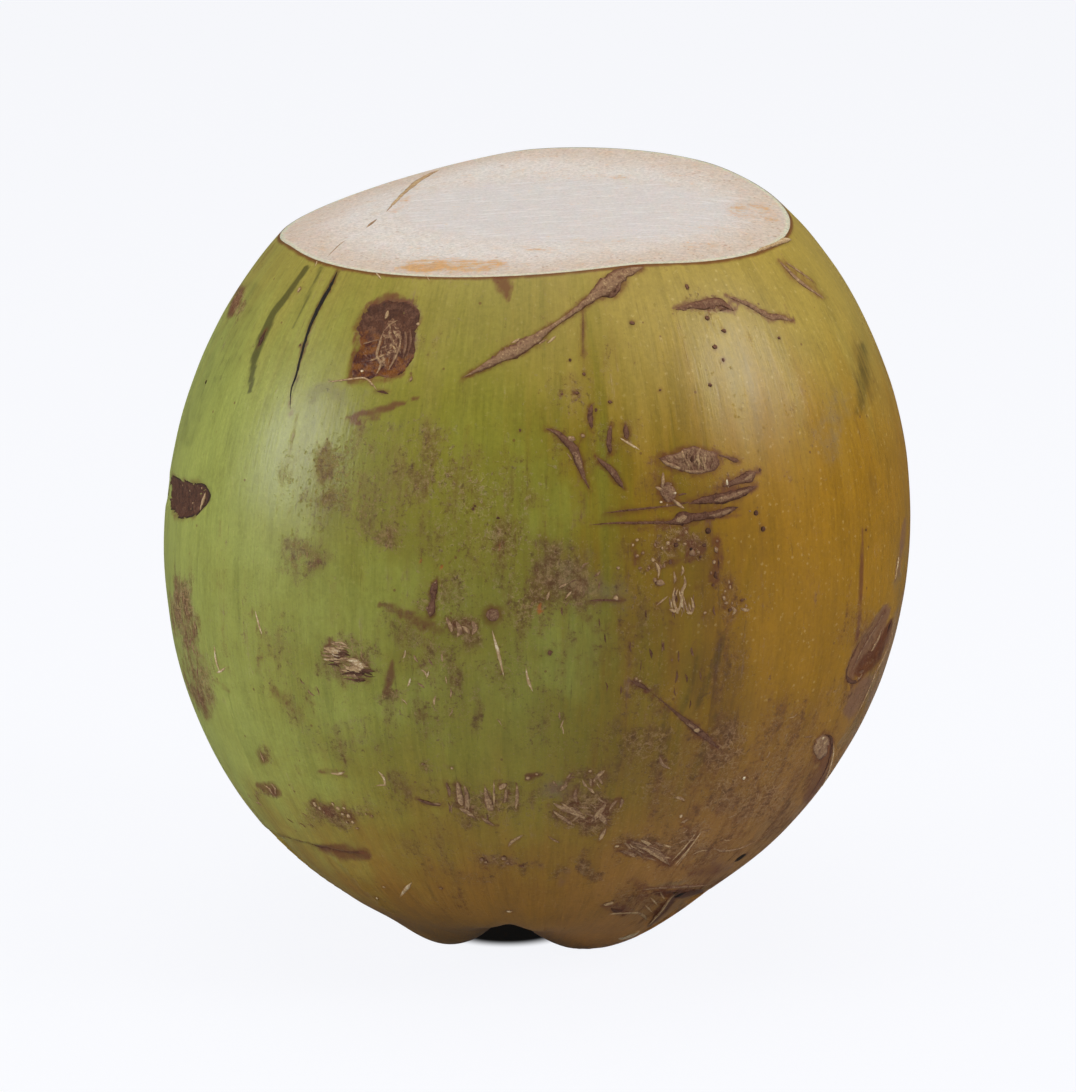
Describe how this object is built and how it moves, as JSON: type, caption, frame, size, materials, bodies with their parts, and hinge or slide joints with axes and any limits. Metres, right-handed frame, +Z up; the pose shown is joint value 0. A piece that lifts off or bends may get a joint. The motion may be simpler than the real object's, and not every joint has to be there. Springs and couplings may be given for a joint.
{
  "type": "green coconut",
  "caption": "Tender green coconut with its crown sliced flat for drinking, standing on three low lobes at its stalk end.",
  "frame": {"origin": "middle of the bounding box in X and Y, on the plane that the stalk end rests on", "axes": "+Z up from the stalk end to the sliced crown, -Y to the front, where the slice is lowest"},
  "size_m": [0.1686, 0.168, 0.1756],
  "materials": {
    "husk": "waxy satin green fruit skin turning golden brown, with corky scars",
    "cut_husk": "moist matte cream-white cut husk fibre",
    "scar": "dry matte brown cork"
  },
  "bodies": {
    "root": {"green_coconut": "husk"}
  },
  "joints": []
}
